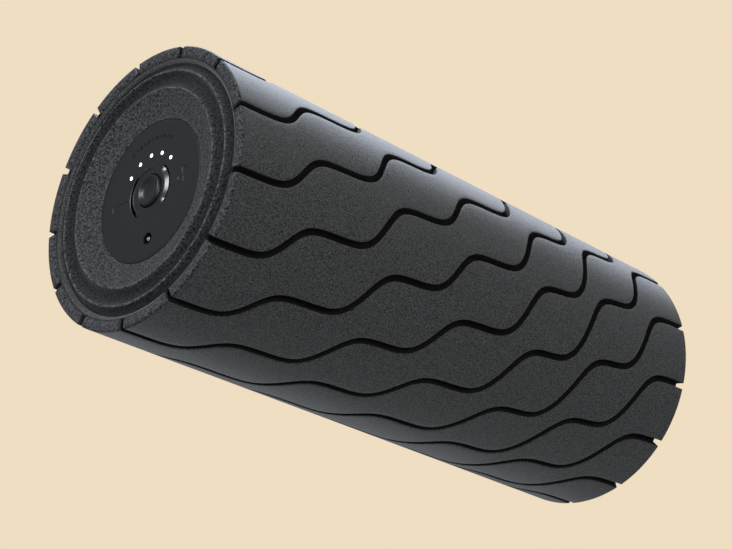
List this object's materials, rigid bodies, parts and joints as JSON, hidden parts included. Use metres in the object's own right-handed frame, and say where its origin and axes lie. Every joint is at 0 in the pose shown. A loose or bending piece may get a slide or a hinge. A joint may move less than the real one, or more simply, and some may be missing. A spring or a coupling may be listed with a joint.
{
  "type": "vibrating foam roller",
  "caption": "Upright cylindrical foam massage roller with wavy lengthwise grooves, ringed ends, a recessed control panel and a motor with off-centre weights inside.",
  "frame": {"origin": "centre of the bottom face, where the roller's axis meets the plane that its plain end stands on", "axes": "+Z along the roller's axis from the plain end to the control end; +Y from the axis towards the middle lamp; +X right of the lamps, seen from above"},
  "size_m": [0.13, 0.13, 0.3],
  "materials": {
    "foam": "fine-grained matte foam",
    "end_foam": "coarse-grained matte foam",
    "panel": "smooth matte",
    "lens": "milky",
    "shell": "moulded",
    "steel": "plain",
    "brass": "turned",
    "board": "solder mask",
    "chip": "moulded",
    "cell": "heat-shrunk sleeve",
    "seal": "plain",
    "magnet": "sintered",
    "red": "lead insulation",
    "black": "moulded"
  },
  "bodies": {
    "roller": {"battery_cell_1": "cell", "battery_cell_2": "cell", "battery_cell_3": "cell", "battery_holder_lower": "black", "battery_holder_upper": "black", "battery_lead_black": "black", "battery_lead_red": "red", "button_dome": "seal", "charging_pin": "steel", "charging_socket": "black", "chassis_left": "shell", "chassis_right": "shell", "control_board": "board", "control_bulkhead": "shell", "control_end_ring": "end_foam", "control_end_screw_1": "steel", "control_end_screw_2": "steel", "control_end_screw_3": "steel", "control_panel": "panel", "core_tube": "shell", "lead_connector": "lens", "light_guide": "lens", "lower_bearing_outer_race": "steel", "lower_damping_ring": "seal", "motor_can": "steel", "motor_driver_chip": "chip", "motor_end_bell": "black", "motor_lead_black": "black", "motor_lead_red": "red", "motor_magnet_back": "magnet", "motor_magnet_front": "magnet", "plain_bulkhead": "shell", "plain_end_plate": "panel", "plain_end_ring": "end_foam", "plain_end_screw_1": "steel", "plain_end_screw_2": "steel", "plain_end_screw_3": "steel", "status_led_1": "lens", "status_led_2": "lens", "status_led_3": "lens", "status_led_4": "lens", "status_led_5": "lens", "switch_body": "chip", "tread_sleeve": "foam", "upper_bearing_outer_race": "steel", "upper_damping_ring": "seal"},
    "rotor": {"motor_shaft": "steel", "motor_armature": "brass", "lower_weight": "brass", "upper_weight": "brass", "lower_bearing_inner_race": "steel", "upper_bearing_inner_race": "steel"},
    "button": {"power_button": "panel"},
    "plunger": {"switch_plunger": "steel"}
  },
  "joints": [
    {"name": "rotor_spin", "type": "hinge", "parent": "roller", "child": "rotor", "pos_m": [0, 0, 0.11], "axis": [0, 0, 1], "continuous": true},
    {"name": "button_press", "type": "slide", "parent": "roller", "child": "button", "axis": [0, 0, -1], "range_m": [0, 0.0008], "stiffness_N_per_m": 2500, "springref_m": -0.0004, "deforming": ["button_dome"]},
    {"name": "plunger_press", "type": "slide", "parent": "roller", "child": "plunger", "axis": [0, 0, -1], "range_m": [0, 0.0008]}
  ],
  "couplings": [
    {"joint": "plunger_press", "follows": "button_press", "ratio": 1}
  ]
}
